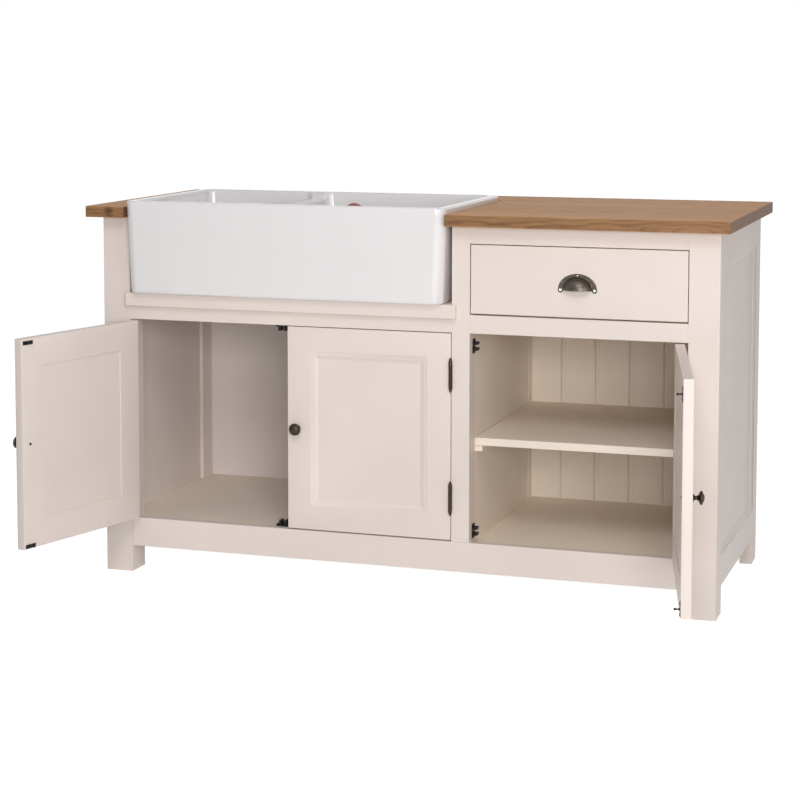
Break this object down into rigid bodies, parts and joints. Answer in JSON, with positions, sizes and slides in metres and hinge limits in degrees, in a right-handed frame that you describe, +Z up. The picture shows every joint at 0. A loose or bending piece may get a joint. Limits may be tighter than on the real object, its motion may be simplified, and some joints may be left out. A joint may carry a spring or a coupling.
{
  "type": "kitchen sink unit",
  "caption": "Freestanding painted kitchen sink unit on square legs with a wood worktop, glazed double-bowl sink, framed doors, a drawer and a boarded shelf cupboard.",
  "frame": {"origin": "on the floor, under the middle of the bounding box with the left and right doors open as stored: 750 mm from each end of the carcass and 63.5 mm behind its front face", "axes": "+X to the unit's right seen from the front, -Y out of its front, +Z up"},
  "size_m": [1.5984, 1.129, 0.914],
  "materials": {
    "cream_paint": "satin cream paint on timber",
    "inner_paint": "flat cream paint inside the cupboards",
    "back_paint": "flat pale grey-cream painted sheet",
    "worktop_wood": "oiled solid timber, warm mid brown with dark grain",
    "raw_wood": "plain unpainted timber",
    "glazed_ceramic": "opaque white glaze, glossy",
    "dark_bronze": "dark bronzed, softly worn",
    "pewter": "dark pewter, softly polished",
    "bright_metal": "polished",
    "black_iron": "black lacquer"
  },
  "bodies": {
    "cabinet": {"leg_front_left": "cream_paint", "leg_front_right": "cream_paint", "leg_rear_left": "cream_paint", "leg_rear_right": "cream_paint", "post_front": "cream_paint", "rail_bottom_front": "cream_paint", "rail_bottom_rear": "cream_paint", "rail_top_rear": "cream_paint", "rail_under_sink": "cream_paint", "rail_under_drawer": "cream_paint", "rail_top_front": "cream_paint", "apron_board": "cream_paint", "side_left": "cream_paint", "side_right": "cream_paint", "post_rear": "inner_paint", "floor_board": "inner_paint", "back_boarded": "inner_paint", "partition": "inner_paint", "shelf": "inner_paint", "shelf_batten_left": "inner_paint", "shelf_batten_right": "inner_paint", "back_plain": "back_paint", "sink_bearer_left": "raw_wood", "sink_bearer_right": "raw_wood", "drawer_runner_left": "raw_wood", "drawer_runner_right": "raw_wood", "worktop": "worktop_wood", "sink": "glazed_ceramic", "waste_left": "bright_metal", "waste_right": "bright_metal", "hinge_left_lower_fixed": "dark_bronze", "hinge_left_upper_fixed": "dark_bronze", "hinge_middle_lower_fixed": "dark_bronze", "hinge_middle_upper_fixed": "dark_bronze", "hinge_right_lower_fixed": "dark_bronze", "hinge_right_upper_fixed": "dark_bronze", "catch_left_lower": "black_iron", "catch_left_upper": "black_iron", "catch_middle_lower": "black_iron", "catch_middle_upper": "black_iron", "catch_right_lower": "black_iron", "catch_right_upper": "black_iron"},
    "door_left": {"door_left_frame": "cream_paint", "door_left_panel": "cream_paint", "knob_left": "dark_bronze", "hinge_left_lower_leaf": "dark_bronze", "hinge_left_upper_leaf": "dark_bronze"},
    "door_middle": {"door_middle_frame": "cream_paint", "door_middle_panel": "cream_paint", "knob_middle": "dark_bronze", "hinge_middle_lower_leaf": "dark_bronze", "hinge_middle_upper_leaf": "dark_bronze"},
    "door_right": {"door_right_frame": "cream_paint", "door_right_panel": "cream_paint", "knob_right": "dark_bronze", "hinge_right_lower_leaf": "dark_bronze", "hinge_right_upper_leaf": "dark_bronze"},
    "drawer": {"drawer_front": "cream_paint", "drawer_box": "raw_wood", "cup_pull": "pewter"}
  },
  "joints": [
    {"name": "door_left_hinge", "type": "hinge", "parent": "cabinet", "child": "door_left", "pos_m": [-0.679, -0.069, 0.3825], "axis": [0, 0, 1], "range_deg": [-59.6, 105.4]},
    {"name": "door_middle_hinge", "type": "hinge", "parent": "cabinet", "child": "door_middle", "pos_m": [0.132, -0.069, 0.3825], "axis": [0, 0, 1], "range_deg": [0, 165]},
    {"name": "door_right_hinge", "type": "hinge", "parent": "cabinet", "child": "door_right", "pos_m": [0.679, -0.069, 0.3825], "axis": [0, 0, 1], "range_deg": [-102.2, 62.8]},
    {"name": "drawer_slide", "type": "slide", "parent": "cabinet", "child": "drawer", "axis": [0, -1, 0], "range_m": [0, 0.38]}
  ]
}
